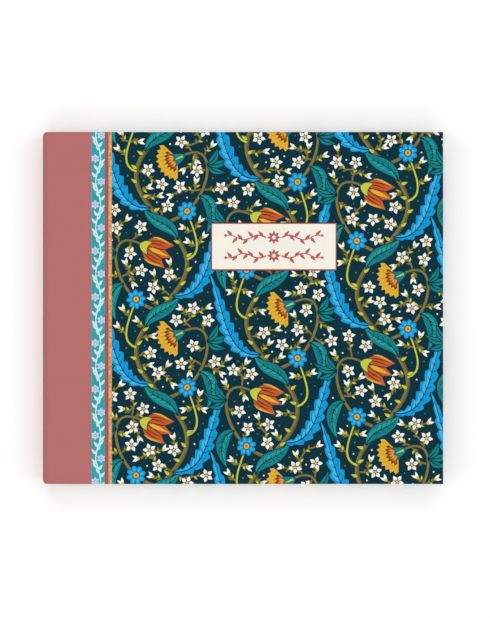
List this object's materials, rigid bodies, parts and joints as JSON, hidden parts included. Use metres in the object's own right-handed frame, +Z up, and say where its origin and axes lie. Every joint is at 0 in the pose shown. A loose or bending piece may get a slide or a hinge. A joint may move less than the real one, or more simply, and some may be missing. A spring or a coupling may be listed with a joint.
{
  "type": "address book",
  "caption": "Hardback address and birthday book, almost square, with a rose cloth spine, patterned paper sides and a stepped thumb index; the covers and leaves open about the spine.",
  "frame": {"origin": "middle of the closed book's footprint, on the surface it lies on", "axes": "+X from the spine to the fore-edge, +Y from tail to head, +Z up, out of the front cover"},
  "size_m": [0.165, 0.145, 0.02],
  "materials": {
    "greyboard": "raw grey board",
    "printed_paper": "matt laminated printed paper, dark petrol ground with a floral print",
    "rose_cloth": "fine matt book cloth",
    "endpaper": "uncoated cream paper",
    "gauze": "open weave, sized",
    "kraft_paper": "brown kraft",
    "thread": "waxed linen thread",
    "band_silk": "striped woven band, rose and cream",
    "page_paper": "uncoated ruled paper",
    "index_card": "smooth light card"
  },
  "bodies": {
    "back_cover": {"back_board": "greyboard", "back_cover_paper": "printed_paper", "back_spine_cloth": "rose_cloth", "back_mull_flap": "gauze", "back_pastedown": "endpaper"},
    "spine": {"spine_board": "greyboard", "spine_cloth": "rose_cloth", "front_joint_cloth": "rose_cloth", "back_joint_cloth": "rose_cloth", "spine_lining": "kraft_paper", "mull": "gauze", "head_band": "band_silk", "tail_band": "band_silk", "sewing_threads": "thread", "leaf_gutters": "page_paper"},
    "front_cover": {"front_board": "greyboard", "front_cover_paper": "printed_paper", "front_spine_cloth": "rose_cloth", "front_mull_flap": "gauze", "front_pastedown": "endpaper"},
    "back_free_leaf": {"back_flyleaf": "endpaper"},
    "section_birthdays": {"birthday_pages": "page_paper"},
    "section_yz": {"index_leaf_yz": "index_card", "pages_yz": "page_paper"},
    "section_wx": {"index_leaf_wx": "index_card", "pages_wx": "page_paper"},
    "section_uv": {"index_leaf_uv": "index_card", "pages_uv": "page_paper"},
    "section_st": {"index_leaf_st": "index_card", "pages_st": "page_paper"},
    "section_qr": {"index_leaf_qr": "index_card", "pages_qr": "page_paper"},
    "section_op": {"index_leaf_op": "index_card", "pages_op": "page_paper"},
    "section_mn": {"index_leaf_mn": "index_card", "pages_mn": "page_paper"},
    "section_kl": {"index_leaf_kl": "index_card", "pages_kl": "page_paper"},
    "section_ij": {"index_leaf_ij": "index_card", "pages_ij": "page_paper"},
    "section_gh": {"index_leaf_gh": "index_card", "pages_gh": "page_paper"},
    "section_ef": {"index_leaf_ef": "index_card", "pages_ef": "page_paper"},
    "section_cd": {"index_leaf_cd": "index_card", "pages_cd": "page_paper"},
    "section_ab": {"index_leaf_ab": "index_card", "pages_ab": "page_paper"},
    "front_free_leaf": {"front_flyleaf": "endpaper"}
  },
  "joints": [
    {"name": "back_hinge", "type": "hinge", "parent": "back_cover", "child": "spine", "pos_m": [-0.08162, 0, 0.00088], "axis": [0, -1, 0], "range_deg": [0, 90], "deforming": ["back_joint_cloth", "leaf_gutters"]},
    {"name": "front_hinge", "type": "hinge", "parent": "spine", "child": "front_cover", "pos_m": [-0.08162, 0, 0.01912], "axis": [0, -1, 0], "range_deg": [0, 90], "deforming": ["front_joint_cloth"]},
    {"name": "turn_back_free_leaf", "type": "hinge", "parent": "spine", "child": "back_free_leaf", "pos_m": [-0.07855, 0, 0.0031], "axis": [0, -1, 0], "range_deg": [-90, 0]},
    {"name": "turn_section_birthdays", "type": "hinge", "parent": "spine", "child": "section_birthdays", "pos_m": [-0.07855, 0, 0.00389], "axis": [0, -1, 0], "range_deg": [-85.08, 0]},
    {"name": "turn_section_yz", "type": "hinge", "parent": "spine", "child": "section_yz", "pos_m": [-0.07855, 0, 0.00504], "axis": [0, -1, 0], "range_deg": [-77.91, 0]},
    {"name": "turn_section_wx", "type": "hinge", "parent": "spine", "child": "section_wx", "pos_m": [-0.07855, 0, 0.00598], "axis": [0, -1, 0], "range_deg": [-72.05, 0]},
    {"name": "turn_section_uv", "type": "hinge", "parent": "spine", "child": "section_uv", "pos_m": [-0.07855, 0, 0.00692], "axis": [0, -1, 0], "range_deg": [-66.19, 0]},
    {"name": "turn_section_st", "type": "hinge", "parent": "spine", "child": "section_st", "pos_m": [-0.07855, 0, 0.00786], "axis": [0, -1, 0], "range_deg": [-60.34, 0]},
    {"name": "turn_section_qr", "type": "hinge", "parent": "spine", "child": "section_qr", "pos_m": [-0.07855, 0, 0.0088], "axis": [0, -1, 0], "range_deg": [-54.48, 0]},
    {"name": "turn_section_op", "type": "hinge", "parent": "spine", "child": "section_op", "pos_m": [-0.07855, 0, 0.00974], "axis": [0, -1, 0], "range_deg": [-48.62, 0]},
    {"name": "turn_section_mn", "type": "hinge", "parent": "spine", "child": "section_mn", "pos_m": [-0.07855, 0, 0.01068], "axis": [0, -1, 0], "range_deg": [-42.76, 0]},
    {"name": "turn_section_kl", "type": "hinge", "parent": "spine", "child": "section_kl", "pos_m": [-0.07855, 0, 0.01162], "axis": [0, -1, 0], "range_deg": [-36.9, 0]},
    {"name": "turn_section_ij", "type": "hinge", "parent": "spine", "child": "section_ij", "pos_m": [-0.07855, 0, 0.01256], "axis": [0, -1, 0], "range_deg": [-31.05, 0]},
    {"name": "turn_section_gh", "type": "hinge", "parent": "spine", "child": "section_gh", "pos_m": [-0.07855, 0, 0.0135], "axis": [0, -1, 0], "range_deg": [-25.19, 0]},
    {"name": "turn_section_ef", "type": "hinge", "parent": "spine", "child": "section_ef", "pos_m": [-0.07855, 0, 0.01444], "axis": [0, -1, 0], "range_deg": [-19.33, 0]},
    {"name": "turn_section_cd", "type": "hinge", "parent": "spine", "child": "section_cd", "pos_m": [-0.07855, 0, 0.01538], "axis": [0, -1, 0], "range_deg": [-13.47, 0]},
    {"name": "turn_section_ab", "type": "hinge", "parent": "spine", "child": "section_ab", "pos_m": [-0.07855, 0, 0.01632], "axis": [0, -1, 0], "range_deg": [-7.61, 0]},
    {"name": "turn_front_free_leaf", "type": "hinge", "parent": "spine", "child": "front_free_leaf", "pos_m": [-0.07855, 0, 0.0169], "axis": [0, -1, 0], "range_deg": [-4, 0]}
  ],
  "couplings": [
    {"joint": "turn_back_free_leaf", "follows": "back_hinge", "ratio": -1},
    {"joint": "turn_section_birthdays", "follows": "back_hinge", "ratio": -0.9453},
    {"joint": "turn_section_yz", "follows": "back_hinge", "ratio": -0.86567},
    {"joint": "turn_section_wx", "follows": "back_hinge", "ratio": -0.80058},
    {"joint": "turn_section_uv", "follows": "back_hinge", "ratio": -0.73549},
    {"joint": "turn_section_st", "follows": "back_hinge", "ratio": -0.6704},
    {"joint": "turn_section_qr", "follows": "back_hinge", "ratio": -0.60531},
    {"joint": "turn_section_op", "follows": "back_hinge", "ratio": -0.54022},
    {"joint": "turn_section_mn", "follows": "back_hinge", "ratio": -0.47514},
    {"joint": "turn_section_kl", "follows": "back_hinge", "ratio": -0.41005},
    {"joint": "turn_section_ij", "follows": "back_hinge", "ratio": -0.34496},
    {"joint": "turn_section_gh", "follows": "back_hinge", "ratio": -0.27987},
    {"joint": "turn_section_ef", "follows": "back_hinge", "ratio": -0.21478},
    {"joint": "turn_section_cd", "follows": "back_hinge", "ratio": -0.14969},
    {"joint": "turn_section_ab", "follows": "back_hinge", "ratio": -0.084605},
    {"joint": "turn_front_free_leaf", "follows": "back_hinge", "ratio": -0.044444}
  ]
}
